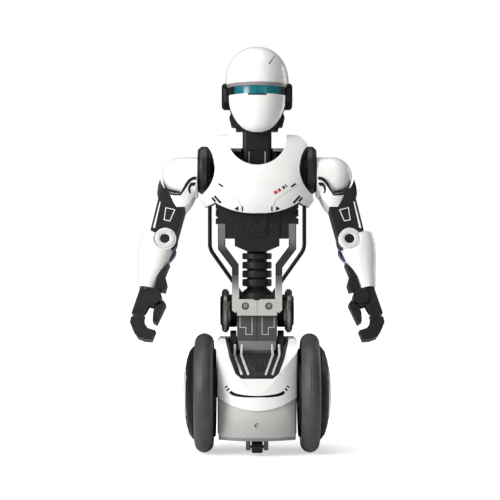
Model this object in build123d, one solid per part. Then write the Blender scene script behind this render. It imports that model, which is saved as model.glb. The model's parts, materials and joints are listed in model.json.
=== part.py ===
"""Self balancing toy robot, 396 mm tall: two driven wheels, a tilting waist and jointed arms.

Millimetres, +Z up, the robot faces -Y and +X is its left hand side. The origin is on the floor, midway between the
wheels. Side parts are drawn for the +X side and mirrored for the other.
"""

import math
import os

from build123d import *

SIDES = {"left": 1, "right": -1}

# Wheels and drive
WHEEL_R = 58.0
TYRE_X = 51.45
TYRE_R = 9.25
MODULE = 0.8
GEAR_TEETH = 36
PINION_TEETH = 12
GEAR_X = (30.0, 34.0)
SHAFT_R = 3.0
PINION_SHAFT_R = 1.5
RUN_FIT = 0.05
MOTOR_R = 10.0
PINION_Z = WHEEL_R - MODULE * (GEAR_TEETH + PINION_TEETH) / 2

# Base
BASE_HALF = 38.6
BASE_BOTTOM = 19.0
BASE_TOP = 112.0
WALL = 2.4
TRAY_BOTTOM = 16.0
ROLLER_Y = 30.0
ROLLER_R = 6.2
ROLLER_GAP = 3.0
ROLLER_Z = ROLLER_R + ROLLER_GAP
CELL_R = 7.1
SWITCH_Z = 50.0

# Waist
HIP_Z = 138.1
KNUCKLE_R = 11.5
HIP_AXLE_R = 4.0
COLUMN_HALF = 19.5

# Torso and head
SHOULDER_Z = 275.2
SHOULDER_SHAFT_R = 5.0
PANEL_LINE = [(46, 263.4), (20.2, 247.3), (15.5, 241.4), (15.5, 226)]
NECK_TOP = 313.2
NECK_PEG_R = 7.0
BRIM_Z = 358.0

# Arms, drawn hanging straight down with u outwards and w down from the shoulder axis, then swung forwards
SWING_DEG = 15.0
BALL_R = 19.9
BALL_GAP = 0.4
BALL = (73.0, 7.3)
ELBOW = (88.5, 72.0)
ELBOW_PIN_R = 4.7
WRIST = (103.8, 119.0)
WRIST_DEG = 10.3
WRIST_PEG_R = 4.5
KNUCKLE = (98.6, 127.9)
FINGER = (111.2, 145.6)


# Solids between limits
def box(x0, x1, y0, y1, z0, z1):
    return Pos((x0 + x1) / 2, (y0 + y1) / 2, (z0 + z1) / 2) * Box(x1 - x0, y1 - y0, z1 - z0)


def rod_x(r, x0, x1, y=0.0, z=0.0):
    return Pos((x0 + x1) / 2, y, z) * Rot(0, 90, 0) * Cylinder(r, abs(x1 - x0))


def rod_y(r, x, y0, y1, z):
    return Pos(x, (y0 + y1) / 2, z) * Rot(90, 0, 0) * Cylinder(r, abs(y1 - y0))


def rod_z(r, x, y, z0, z1):
    return Pos(x, y, (z0 + z1) / 2) * Cylinder(r, abs(z1 - z0))


def front_prism(outline, y0, y1):
    """Prism of an outline seen from the front (x, z), between two depths."""
    plane = Plane((0, y1, 0), x_dir=(1, 0, 0), z_dir=(0, -1, 0))
    return extrude(plane * outline, amount=y1 - y0, dir=plane.z_dir)


def side_prism(outline, x0, x1):
    """Prism of an outline seen from the side (y, z), between two widths."""
    plane = Plane((x0, 0, 0), x_dir=(0, 1, 0), z_dir=(1, 0, 0))
    return extrude(plane * outline, amount=x1 - x0, dir=plane.z_dir)


def plan_prism(outline, z0, z1):
    """Prism of an outline seen from above (x, y), between two heights."""
    return extrude(Pos(0, 0, z0) * outline, amount=z1 - z0, dir=(0, 0, 1))


def polygon(*points):
    return make_face(Polyline(*points, close=True))


def mirrored_outline(half):
    """Closed polygon from the points of its +x half, listed from top to bottom."""
    return polygon(*half, *[(-x, z) for x, z in reversed(half) if x != 0])


def turned(profile):
    """Solid of revolution about the X axis, from (x, radius) points."""
    return revolve(polygon(*profile), axis=Axis.X)


def both_sides(solid):
    return solid + mirror(solid, about=Plane.YZ)


def capsule(a, b, r):
    """Round bar with round ends."""
    a, b = Vector(*a), Vector(*b)
    axis = Plane((a + b) * 0.5, z_dir=b - a)
    return axis * Cylinder(r, (b - a).length) + Pos(*a) * Sphere(r) + Pos(*b) * Sphere(r)


def ellipse_stack(sections):
    """Smooth solid through level ellipses (z, half width, half depth, middle y)."""
    return loft([Pos(0, y, z) * Ellipse(a, b) for z, a, b, y in sections])


# Gears
def gear_outline(teeth, first_deg, thinning=0.14, pressure_deg=25.0):
    """Involute spur gear outline about the origin, with a tooth centred on first_deg."""
    pitch_r = MODULE * teeth / 2
    pressure = math.radians(pressure_deg)
    base_r = pitch_r * math.cos(pressure)
    tip_r = pitch_r + 0.8 * MODULE
    root_r = pitch_r - 1.1 * MODULE
    half = (math.pi * MODULE / 2 - thinning) / 2 / pitch_r + math.tan(pressure) - pressure

    def flank(r):
        if r <= base_r:
            return half
        lean = math.acos(base_r / r)
        return half - (math.tan(lean) - lean)

    radii = [root_r + (tip_r - root_r) * i / 5 for i in range(6)]
    points = []
    for tooth in range(teeth):
        middle = math.radians(first_deg + 360 * tooth / teeth)
        side = [(r, middle - flank(r)) for r in radii]
        side += [(r, middle + flank(r)) for r in reversed(radii)]
        points += [(r * math.cos(a), r * math.sin(a)) for r, a in side]
    return polygon(*points)


# Base housing
def base_plan(front, rear):
    """Outline of the base from above, bowed out to these depths in front and behind."""
    w = BASE_HALF
    plan = make_face(
        [
            ThreePointArc((-w, -33), (0, -front), (w, -33)),
            Line((w, -33), (w, 31)),
            ThreePointArc((w, 31), (0, rear), (-w, 31)),
            Line((-w, 31), (-w, -33)),
        ]
    )
    return fillet(plan.vertices(), 5)


def base_body(inset):
    """Outside of the base housing, drawn in by inset."""
    w = BASE_HALF
    plan = base_plan(47, 40)
    side = make_face(
        [
            ThreePointArc((-43, 13), (-48, 45), (-45, 72)),
            ThreePointArc((-45, 72), (-37, 94), (-20, BASE_TOP)),
            Line((-20, BASE_TOP), (22, BASE_TOP)),
            ThreePointArc((22, BASE_TOP), (34.5, 92), (39.5, 66)),
            ThreePointArc((39.5, 66), (40.8, 42), (37.4, 13)),
            Line((37.4, 13), (-43, 13)),
        ]
    )
    front = mirrored_outline([(w - 3.2, BASE_TOP + 1), (w + 3, BASE_TOP - 6), (w + 3, BASE_BOTTOM - 5)])
    front = fillet(front.vertices().sort_by(Axis.Y)[-2:], 3)
    if inset:
        plan, side, front = (offset(face, -inset) for face in (plan, side, front))
    bottom = BASE_BOTTOM - 10
    body = plan_prism(plan, bottom, BASE_TOP + 5)
    body &= side_prism(side, -60, 60)
    body &= front_prism(front, -60, 60)
    return body


def base_taper(inset):
    """Plan outline that narrows below the crease, drawn in by inset."""
    plan = offset(base_plan(45.5, 39), 1.5 - inset)
    low = extrude(Pos(0, 0, 63) * plan, amount=53, dir=(0, 0, -1), taper=2.6)
    return low + plan_prism(plan, 63, 130)


def recess_outline(inset):
    """U shaped opening for the hip column, seen from the front."""
    half = [(31.2, 114), (26.2, 94.2), (20.7, 80), (15, 75.3)]
    face = mirrored_outline(half)
    low = face.vertices().sort_by(Axis.Y)[:4]
    face = fillet(low, 3)
    return offset(face, -inset) if inset else face


def make_base(parts):
    outer = base_body(0)
    step = base_body(1.0) & base_taper(1.0)
    inner = base_body(WALL) & base_taper(WALL)
    shell = outer - inner
    shell &= box(-60, 60, -60, 60, BASE_BOTTOM, 130)
    shell -= front_prism(recess_outline(0), -60, 16.8)
    shell -= rod_x(SHAFT_R + 0.3, -45, 45, 0, WHEEL_R)
    bosses = Part()
    for x in (-31, 31):
        for y in (-24, 24):
            bosses += rod_z(3.6, x, y, BASE_BOTTOM, 32)
            bosses += box(min(x, x * 1.18), max(x, x * 1.18), y - 1, y + 1, BASE_BOTTOM + 4.2, 32)
    shell += bosses & outer

    crease = make_face(
        [
            ThreePointArc((-45, 62), (0, 45.2), (45, 62)),
            Line((45, 62), (45, 10)),
            Line((45, 10), (-45, 10)),
            Line((-45, 10), (-45, 62)),
        ]
    )
    lower_step = (outer - step) & front_prism(crease, -60, -8)
    vents = make_face(
        [
            Spline((-26.6, 61.8), (-24.3, 59.8), (-21, 58.8), (0, 57.9), (21, 58.8), (24.3, 59.8), (26.6, 61.8)),
            Line((26.6, 61.8), (24.9, 64.1)),
            Spline((24.9, 64.1), (22, 62.2), (16.7, 60.8), (0, 59.5), (-16.7, 60.8), (-22, 62.2), (-24.9, 64.1)),
            Line((-24.9, 64.1), (-26.6, 61.8)),
        ]
    )
    slots = front_prism(vents, -60, -20)
    lower_dash = polygon((29.5, 64.1), (28.1, 63.2), (25.8, 65.6), (27.2, 66.4))
    upper_dash = polygon((31.1, 66.8), (30.1, 65.9), (27.6, 67.9), (28.4, 68.8))
    slots += both_sides(front_prism(lower_dash, -60, -20) + front_prism(upper_dash, -60, -20))
    front = shell & box(-60, 60, -60, 0, 0, 130)
    front = front - lower_step - slots
    front -= rod_y(2.5, 0, -60, -44.2, 31)
    parts["base_front_shell"] = front
    parts["front_vent_bars"] = slots & (base_body(0.6) - inner)

    rear = shell & box(-60, 60, 0, 60, 0, 130)
    rear -= outer - base_taper(0)
    rear -= box(-5.8, 5.8, 33, 45, SWITCH_Z - 2.4, SWITCH_Z + 2.4)
    for z in (SWITCH_Z - 6.9, SWITCH_Z + 5.4):
        rear += box(-12, 12, 33.8, 38, z, z + 1.5) & outer
    for z in (88, 94, 100):
        rear -= box(-14, 14, 20, 60, z, z + 2)
    parts["base_rear_shell"] = rear
    parts["power_switch"] = box(-9, 9, 34, 36, SWITCH_Z - 5, SWITCH_Z + 5) + box(
        -3, 3, 36, 41, SWITCH_Z - 2, SWITCH_Z + 2
    )

    tub = front_prism(recess_outline(0.2), -60, 16.6) & base_body(0.9)
    air = polygon((-70, 77), (-41, 77.4), (-17, 97), (14.2, 97), (14.2, 130), (-70, 130))
    under = polygon((-39.4, 75.4), (-15.8, 94.8), (20, 94.8), (20, 60), (-39.4, 60))
    tub -= side_prism(air, -60, 60) & front_prism(recess_outline(2.4), -70, 30)
    tub -= side_prism(under, -60, 60)
    ears = box(20.2, 26.2, -9, 9, 96, 109.9) + rod_x(9, 20.2, 26.2, 0, 109.9)
    tub += both_sides(ears)
    slope = Plane((0, -29, 87.2), x_dir=(1, 0, 0), z_dir=(0, -19.6, 24))
    for r in (2.9, 5.7, 8.5):
        ring = Circle(r) - Circle(r - 1.3)
        legs = Pos(r - 0.65, 3.5) * Rectangle(1.3, 7) + Pos(-r + 0.65, 3.5) * Rectangle(1.3, 7)
        emboss = (ring & Pos(0, -10) * Rectangle(40, 20)) + legs
        tub += extrude(slope * emboss, amount=0.9)
    strips = Part()
    for x0, x1, x2 in ((21.3, 21.9, 14.8), (14.6, 15.2, 8.4)):
        a, b, c = (x0, -20, 105.5), (x1, -20.6, 96), (x2, -41, 79.6)
        strips += both_sides(capsule(a, b, 1.3) + capsule(b, c, 1.3))
    parts["recess_light_strips"] = strips & base_body(0)
    parts["recess_panel"] = tub - strips

    plan = base_plan(45.5, 39)
    tray = plan_prism(offset(plan, -1.6), TRAY_BOTTOM, BASE_BOTTOM)
    lip = plan_prism(offset(plan, -WALL - 1.6), BASE_BOTTOM, BASE_BOTTOM + 4)
    lip -= plan_prism(offset(plan, -WALL - 3.2), BASE_BOTTOM, BASE_BOTTOM + 4)
    tray += lip & base_body(WALL + 0.1)
    for x in (-27.5, 27.5):
        tray += box(x - 1, x + 1, -16, 16, BASE_BOTTOM, 78)
        tray -= rod_x(SHAFT_R + RUN_FIT, x - 2, x + 2, 0, WHEEL_R)
        tray -= rod_x(4.0, x - 2, x + 2, 0, PINION_Z)
    for x in (-15, 15):
        for y in (-20.5, 20.5):
            tray += box(x - 1, x + 1, y - 8.2, y + 8.2, BASE_BOTTOM, 46)
    cells = Part()
    for y in (-20.5, 20.5):
        for z in (27, 42):
            cells += rod_x(CELL_R, -25, 24.2, y, z) + rod_x(2.6, 24.2, 25.2, y, z)
    tray -= cells
    tray -= rod_x(MOTOR_R + 0.3, -26.5, 26.5, 0, PINION_Z)
    door = box(-26.5, 26.5, 12.5, 28.5, TRAY_BOTTOM, 18) - box(-8, 8, 25.5, 27, 15, 16.8)
    tray -= box(-26.6, 26.6, 12.4, 28.6, 15, 18) + box(-24, -16.2, 14, 27, 17, 19.2)
    tray -= box(-13.8, 13.8, 14, 27, 17, 19.2) + box(16.2, 24, 14, 27, 17, 19.2)
    screws = Part()
    for x in (-31, 31):
        for y in (-24, 24):
            screws += rod_z(2.7, x, y, TRAY_BOTTOM, 17.2) + rod_z(1.4, x, y, 17.2, 28)
            screws -= box(x - 1.8, x + 1.8, y - 0.35, y + 0.35, 15, 16.5)
            tray -= rod_z(3.7, x, y, BASE_BOTTOM, 40)
            tray -= rod_z(2.7, x, y, 15, 17.2) + rod_z(1.4, x, y, 17, 28)
    parts["base_front_shell"] -= screws
    parts["base_rear_shell"] -= screws
    parts["base_tray"] = tray
    parts["battery_cells"] = cells
    parts["battery_door"] = door
    parts["base_screws"] = screws

    motor = rod_x(MOTOR_R, 1.5, 26.5, 0, PINION_Z) + rod_x(3.95, 26.5, 28.4, 0, PINION_Z)
    motor -= rod_x(PINION_SHAFT_R + RUN_FIT, 15, 29, 0, PINION_Z)
    parts["drive_motors"] = both_sides(motor)
    board = box(-28.4, 28.4, -15, 15, 78, 79.6)
    board += box(-9, 3, -8, 4, 79.6, 81.4) + box(8, 20, -11, -5, 79.6, 85)
    board += box(-22, -14, -10, 8, 79.6, 84)
    for y in (2, 8):
        board += rod_z(2.6, 14, y, 79.6, 88)
    parts["base_circuit_board"] = board

    supports = Part()
    for y in (-ROLLER_Y, ROLLER_Y):
        arm = polygon((y - 8.5, TRAY_BOTTOM), (y + 8.5, TRAY_BOTTOM), (y + 3.4, 6), (y - 3.4, 6))
        supports += both_sides(side_prism(arm, 6.3, 10.7))
        supports += rod_x(1.5, -7, 7, y, ROLLER_Z)
    parts["roller_supports"] = supports
    for name, y in (("roller_front", -ROLLER_Y), ("roller_rear", ROLLER_Y)):
        tube = turned([(-5.4, 1.55), (-5.4, 5), (-4.4, 6.2), (4.4, 6.2), (5.4, 5), (5.4, 1.55)])
        parts[name] = Pos(0, y, ROLLER_Z) * tube


# Wheels
def make_wheels(parts):
    tread = Pos(TYRE_X, 0) * Ellipse(TYRE_R, 9.0)
    tyre = revolve(Pos(0, WHEEL_R - 9.0) * tread, axis=Axis.X)
    rim = turned(
        [(40.2, 41.6), (40.2, 42.4), (43, 44.2), (60.2, 44.2), (60.6, 45.5), (62.2, 45.4)]
        + [(66, 40.6), (68.7, 32), (68.7, SHAFT_R), (41.2, SHAFT_R), (41.2, 8)]
        + [(66, 8), (66, 30.6), (63.4, 38.4), (60, 41.6)]
    )
    rim += turned([(42.6, 7.5), (42.6, 42), (44.6, 42), (44.6, 7.5)])
    for i in range(12):
        rim += Rot(30 * i, 0, 0) * box(41.4, 42.8, -0.8, 0.8, 7.5, 41.8)
    tyre -= turned([(30, 0), (30, 42.4), (43, 44.2), (60.2, 44.2), (60.6, 45.5), (80, 45.5), (80, 0)])
    cap = turned([(68.7, 0), (68.7, 28), (69.4, 28), (70.6, 24), (71.6, 16), (72.0, 8), (72.0, 0)])
    cap -= turned([(71.5, 3.4), (71.5, 4.4), (73, 4.4), (73, 3.4)])
    gear = side_prism(gear_outline(GEAR_TEETH, -90 + 180 / GEAR_TEETH), *GEAR_X)
    for i in range(6):
        gear -= Rot(60 * i, 0, 0) * Pos(32, 0, 9.2) * Rot(0, 90, 0) * Cylinder(2.6, 6)
    gear += rod_x(SHAFT_R, 24, 68.7) + rod_x(5, 38.9, 41.2) + rod_x(5, 28.9, 30)
    pinion = side_prism(gear_outline(PINION_TEETH, 90), 29.6, 34.6) + rod_x(PINION_SHAFT_R, 16, 29.6)
    for side, s in SIDES.items():
        for name, solid, z in (
            ("tyre", tyre, WHEEL_R),
            ("wheel_rim", rim, WHEEL_R),
            ("hub_cap", cap, WHEEL_R),
            ("axle_gear", gear, WHEEL_R),
            ("pinion", pinion, PINION_Z),
        ):
            placed = Pos(0, 0, z) * solid
            parts[f"{name}_{side}"] = placed if s > 0 else mirror(placed, about=Plane.YZ)


# Waist
def make_waist(parts):
    column = box(-COLUMN_HALF, COLUMN_HALF, -KNUCKLE_R, KNUCKLE_R, 109.4, HIP_Z)
    column += box(-15, 15, -KNUCKLE_R, KNUCKLE_R, 97, 109.4)
    column -= both_sides(rod_x(KNUCKLE_R + 0.4, 15.2, 20, 0, HIP_Z))
    column -= both_sides(box(15.2, 20, -20, 20, HIP_Z, HIP_Z + 20))
    column += rod_x(KNUCKLE_R, -15.2, 15.2, 0, HIP_Z)
    column -= rod_x(HIP_AXLE_R + RUN_FIT, -20, 20, 0, HIP_Z)
    column -= box(-11, 11, -8, 8, 96, 124)
    column -= box(-0.35, 0.35, -12, -11.1, 96, 134)
    parts["hip_column"] = column

    block = box(-19.3, 19.3, -20.5, -14, 134.2, 150)
    cheek = rod_x(KNUCKLE_R, 15.5, 19.3, 0, HIP_Z) + box(15.5, 19.3, -14, KNUCKLE_R, HIP_Z, 150)
    block += both_sides(cheek)
    block -= box(-2.8, 2.8, -30, 0, 149, 152)
    rail = polygon((17.8, 139.5), (21, 136.6), (24.2, 139.5), (24.2, 173.4), (17.8, 173.4))
    block += both_sides(front_prism(rail, -20.5, -16.5))
    block -= rod_x(HIP_AXLE_R, -40, 40, 0, HIP_Z)
    parts["hip_axle"] = rod_x(HIP_AXLE_R, -34.3, 34.3, 0, HIP_Z)
    disc = turned(
        [(19.6, HIP_AXLE_R), (19.6, 15), (20.6, 16), (27.2, 16), (27.2, 18.6), (29.4, 21.3)]
        + [(32.4, 21.3), (34.3, 19), (34.3, 14.3), (35.4, 14.3), (35.8, 13.6), (35.8, 0)]
        + [(34.3, 0), (34.3, HIP_AXLE_R)]
    )
    parts["hip_discs"] = both_sides(Pos(0, 0, HIP_Z) * disc)

    strut = polygon(
        (-37.7, 222.8), (-30.7, 222.8), (-30.7, 201), (-17.8, 183.7),
        (-17.8, 173.4), (-24.2, 173.4), (-24.2, 180.4), (-37.7, 198.3),
    )
    struts = both_sides(front_prism(strut, -20.5, -16.5))
    parts["side_struts"] = struts
    path = FilletPolyline(
        (-45.6, -18.5, 240), (-45.6, -18.5, 198.5), (-22.5, -18.5, 166), radius=16
    )
    tube = sweep(Plane(path @ 0, z_dir=path % 0) * Circle(1.9), path=path)
    tubes = both_sides(tube) - struts - block
    parts["side_tubes"] = tubes & (box(-60, -24.2, -25, -10, 150, 260) + box(24.2, 60, -25, -10, 150, 260))

    bellows = rod_z(9.8, 0, 0, 160.4, 196.3) + rod_z(7, 0, 0, 196.3, 199)
    for low, high in ((188.4, 194.5), (179.2, 186.0), (170.6, 177.5), (162.1, 169.1)):
        ring = rod_z(14.4, 0, 0, low, high)
        bellows += fillet(ring.edges().filter_by(GeomType.CIRCLE), 1.2)
    bellows += Pos(0, 0, (155.5 + 160.4) / 2) * Cone(15.9, 9.8, 4.9) + rod_z(15.9, 0, 0, 150, 155.5)
    bellows += box(-15.4, 15.4, -14, 13, 150, 153)
    horn = polygon((-17.6, 150), (-17.6, 161.5), (-13, 154), (13, 154), (17.6, 161.5), (17.6, 150))
    bellows += front_prism(horn, -13.9, -9)
    bellows -= rod_x(KNUCKLE_R + 0.5, -15.5, 15.5, 0, HIP_Z)
    parts["waist_bellows"] = bellows
    seats = both_sides(rod_y(3.4, 11.3, -22, -19.3, 143.2))
    heads = both_sides(rod_y(3.4, 11.3, -20.2, -19.3, 143.2)) - both_sides(
        rod_y(2.7, 11.3, -22, -19.9, 143.2) - rod_y(2.0, 11.3, -22, -19.9, 143.2)
    )
    parts["hip_block"] = block - seats
    parts["torso_screws"] = heads


# Torso
def torso_body(inset):
    """Outside of the torso barrel, drawn in by inset."""
    sections = [
        (229, 42, 27, -3),
        (240, 54, 35, -3),
        (256, 62, 41, -2),
        (275, 64, 41, -1),
        (291, 62, 35, 0),
        (302, 58, 26, 1),
        (309.5, 54, 13, 1),
    ]
    top = 2.2 if inset else 0
    return ellipse_stack(
        [(z - (top if i == 6 else 0), a - inset, b - inset, y) for i, (z, a, b, y) in enumerate(sections)]
    )


def shoulder_disc():
    """Ribbed shoulder disc on the X axis, with its shaft."""
    return turned(
        [(30, 0), (30, SHOULDER_SHAFT_R), (41.8, SHOULDER_SHAFT_R), (42.2, 9), (43.6, 15), (46, 20)]
        + [(48.6, 23.2), (53, 23.5), (54.8, 23.1), (57.7, 20.4), (57.7, 0)]
    )


def torso_outline():
    """Shell outline from the front: shoulder straps, arm cut-outs and the bowed lower edge."""
    right = [
        Line((29, 311), (32, 311)),
        ThreePointArc((32, 311), (42.8, 306.8), (49.6, 297.4)),
        Line((49.6, 297.4), (48.4, 298)),
        ThreePointArc((48.4, 298), (40.4, 276), (53.6, 250.4)),
        Line((53.6, 250.4), (55, 245.4)),
        Line((55, 245.4), (50.4, 238.9)),
        Line((50.4, 238.9), (43.6, 241.3)),
        Line((43.6, 241.3), (40.6, 243.2)),
        ThreePointArc((40.6, 243.2), (21.7, 235.1), (0, 232.8)),
    ]
    left = [mirror(edge, about=Plane.YZ) for edge in right]
    return make_face(right + left + [Line((-29, 311), (29, 311))])


def make_torso(parts):
    shell = torso_body(0) - torso_body(2.4)
    shell &= front_prism(torso_outline(), -60, 60)
    shell -= both_sides(Pos(0, 0, SHOULDER_Z) * turned([(39, 0), (39, 20), (46, 25), (60, 25), (60, 0)]))
    neckline = make_face(
        [
            Line((-30.5, 320), (-28.4, 303)),
            ThreePointArc((-28.4, 303), (0, 278.6), (28.4, 303)),
            Line((28.4, 303), (30.5, 320)),
            Line((30.5, 320), (-30.5, 320)),
        ]
    )
    nape = polygon((-29, 298), (29, 298), (30.5, 320), (-30.5, 320))
    front = shell & box(-70, 70, -60, 0, 220, 320)
    front -= front_prism(neckline, -60, 1)
    skin = torso_body(0) - torso_body(0.7)
    seam = trace(FilletPolyline(*PANEL_LINE, radius=5), line_width=0.6)
    front -= both_sides(front_prism(seam, -60, -5)) & skin
    parts["side_tubes"] -= front
    slots = Part()
    for x, z in ((-43.6, 247.6), (-41.4, 248.7)):
        slot = polygon((x, z), (x + 1.1, z + 0.7), (x + 6.6, z - 5.6), (x + 5.5, z - 6.3))
        slots += both_sides(front_prism(slot, -60, -12))
    parts["chest_shell"] = front - (slots & (torso_body(0) - torso_body(1.0)))
    back = shell & box(-70, 70, 0, 60, 220, 320)
    back -= front_prism(nape, -1, 60)
    for z in (250, 256, 262):
        back -= box(-12, 12, 30, 60, z, z + 2.4)
    parts["back_shell"] = back

    frame = front_prism(
        mirrored_outline([(21.6, 252), (21.6, 201.4), (10, 196.3)]), -21, 17
    )
    frame -= rod_z(7, 0, 0, 190, 199)
    side_block = polygon(
        (21, 252), (40, 252), (40, 238), (38.6, 237.2), (40, 236.4), (40, 230.5), (37.6, 229),
        (40, 227.4), (40, 222.8), (30.7, 222.8), (30.7, 208.6), (21, 208.6),
    )
    frame += both_sides(front_prism(side_block, -19.5, 14))
    frame += box(-9.8, 9.8, -22.4, -21, 210.6, 231.6)
    badge = polygon((-7, 213.4), (7, 213.4), (0, 222.4)) - polygon((-5, 214.4), (5, 214.4), (0, 220.4))
    frame += front_prism(badge, -22.9, -22.4)
    frame -= rod_y(1.1, 0, -30, -20, 225.4)
    frame += both_sides(rod_y(2.6, 16.2, -21.9, -21, 220.4) - rod_y(1.7, 16.2, -21.9, -21.4, 220.4))
    frame -= box(-15, 15, -15, 11, 206, 246)
    frame += box(-14, 14, -10, 10, 251, 270)
    frame += box(-39.2, 39.2, -9, 9, 266.4, 284) - box(-14.2, 14.2, -13.2, 13.2, 270, 300)
    frame += box(-28, 28, 13.5, 19, 270, 298) + box(-28, 28, 8.9, 14, 276, 282)
    frame += both_sides(box(15, 27, -14, 19, 292.6, 296))
    frame += both_sides(box(15, 19, -9, 14, 280, 293))
    frame -= rod_x(SHOULDER_SHAFT_R + RUN_FIT, -45, 45, 0, SHOULDER_Z) & (
        box(-45, -29.7, -20, 20, 250, 300) + box(29.7, 45, -20, 20, 250, 300)
    )
    inner = torso_body(2.4)
    low = box(-70, 70, -70, 70, 190, 232)
    frame = frame & (inner + low)
    parts["side_tubes"] -= frame
    parts["torso_frame"] = frame
    parts["side_struts"] -= frame

    neck = box(-14.1, 14.1, -13, 13, 270, NECK_TOP)
    neck = fillet(neck.edges().filter_by(Axis.Z), 4)
    neck -= box(-8.4, 8.4, -14, -12.2, 262, 294)
    neck += box(-7.2, 7.2, -12.8, -12, 270, 293.4)
    neck += rod_z(NECK_PEG_R, 0, 0, NECK_TOP, 326)
    parts["neck_post"] = neck - frame


# Head
def head_body(inset):
    """Outside of the face and jaw, drawn in by inset."""
    sections = [
        (309.6, 9, 13, -10),
        (314, 17.5, 22, -8),
        (321, 23.5, 29, -5),
        (331, 28.0, 33.5, -2),
        (345, 30.4, 35.2, 0),
        (360, 31, 36, 0),
    ]
    lift = inset * 0.9
    return ellipse_stack(
        [(z + (lift if i == 0 else 0), a - inset, b - inset, y) for i, (z, a, b, y) in enumerate(sections)]
    )


def dome(inset):
    """Upper part of the helmet, drawn in by inset."""
    a, b, rise = 31.0 - inset, 36.0 - inset, 36.0 - inset
    sections = [(BRIM_Z, a * 0.995, b * 0.995, 0)]
    for part_up in (0.05, 0.3, 0.55, 0.76, 0.9, 0.975, 1.0):
        wide = max((1 - part_up**2.15) ** (1 / 2.15), 0.075)
        sections.append((360 + rise * part_up, a * wide, b * wide, 0))
    return ellipse_stack(sections)


def make_head(parts):
    helmet = dome(0) - dome(2.2)
    notch = polygon((17.2, 385.4), (17.6, 384.8), (12.2, 375.4), (10.9, 376.4))
    helmet -= front_prism(notch, -60, -2) & (dome(0) - dome(0.8))
    nape = (head_body(0) - head_body(2.2)) & box(-40, 40, 14, 40, 331, BRIM_Z)
    helmet += nape
    helmet = helmet - box(-29.5, 29.5, -60, 10, BRIM_Z - 2, BRIM_Z + 0.01)
    parts["helmet"] = helmet

    face_outline = mirrored_outline(
        [(27.3, 347.2), (26.9, 338), (25.7, 333.3), (24.1, 329.6), (22.3, 325.5), (19.2, 320.7)]
        + [(15.2, 316.3), (11, 313.1), (5.4, 311.3), (2, 311)]
    )
    face = (head_body(0) - head_body(2.2)) & front_prism(face_outline, -60, -9)
    face -= box(-9, 9, -60, 0, 345.6, 350) + rod_z(19.7, 0, 0, 300, 313.6)
    parts["face_plate"] = face

    ring = head_body(1.0) - head_body(4.2)
    window = box(-24.6, 24.6, -60, -12, 347.2, 355.4)
    parts["visor"] = (head_body(1.6) - head_body(4.2)) & window
    skull = head_body(2.2) & box(-40, 40, -60, 60, 313.7, BRIM_Z)
    surround = ring & box(-40, 40, -60, -6, 347.2, BRIM_Z - 0.2)
    jaw = mirrored_outline([(26, 329.6), (27, 326), (25, 318), (21, 317.4), (20.5, 313.7)])
    skull += front_prism(jaw, -9, 12)
    skull += surround
    skull -= (head_body(0.0) - head_body(4.2)) & window
    skull -= box(-19, 19, -22, 22, 329, 370)
    skull -= rod_z(NECK_PEG_R + RUN_FIT, 0, 0, 300, 326.4)
    skull -= face
    skull -= helmet
    parts["head_frame"] = skull
    ear = polygon(
        (-9, 359.4), (9, 359.4), (12, 356), (12, 341), (8, 335), (-6, 335), (-11, 340), (-11, 356.5)
    )
    cap = side_prism(ear, 26, 32.4)
    rim = polygon((-7, 357.4), (7, 357.4), (10, 354.6), (10, 341.8), (7, 337), (-5, 337), (-9, 341), (-9, 355))
    cap += loft([Plane((32.4, 0, 0), x_dir=(0, 1, 0), z_dir=(1, 0, 0)) * ear,
                 Plane((34.4, 0, 0), x_dir=(0, 1, 0), z_dir=(1, 0, 0)) * rim])
    caps = both_sides(cap)
    caps -= skull
    caps -= helmet + face
    caps -= head_body(2.2)
    parts["ear_caps"] = caps & (box(-50, -24, -40, 40, 300, 380) + box(24, 50, -40, 40, 300, 380))


# Arms
def arm_xz(u, w):
    """Front-view position of an arm point before the arm is swung forwards."""
    return (u, SHOULDER_Z - w)


def arm_prism(points, depth, back=None):
    """Prism from (u, w) points, through plus and minus depth or between two depths."""
    face = polygon(*[arm_xz(u, w) for u, w in points])
    return front_prism(face, -depth, depth if back is None else back)


def arm_pin(centre, r, depth, back=None):
    u, z = arm_xz(*centre)
    return rod_y(r, u, -depth, depth if back is None else back, z)


def sector(centre, r, first_deg, last_deg, depth):
    """Pie slice about a front-facing axis; 0 points outwards and 90 points up."""
    u, w = centre
    steps = 8
    rim = []
    for i in range(steps + 1):
        a = math.radians(first_deg + (last_deg - first_deg) * i / steps)
        rim.append((u + r * math.cos(a), w - r * math.sin(a)))
    return arm_prism([centre] + rim, depth)


def ball_form(r):
    """Ball with the stub that carries it on the shoulder disc."""
    u, z = arm_xz(*BALL)
    return Pos(u, 0, z) * Sphere(r) + rod_x(r, 57.7, u, 0, z)


def make_shoulder(arm):
    disc = Pos(0, 0, SHOULDER_Z) * shoulder_disc()
    slot = arm_pin(BALL, 7.6, 4.4) + sector(BALL, 34, -93, 3, 4.4)
    arm["shoulder_disc"] = disc
    ball = ball_form(BALL_R) & box(57.7, 120, -40, 40, 200, 330)
    arm["shoulder_ball"] = ball - slot + arm_pin(BALL, 2.5, 5)


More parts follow.
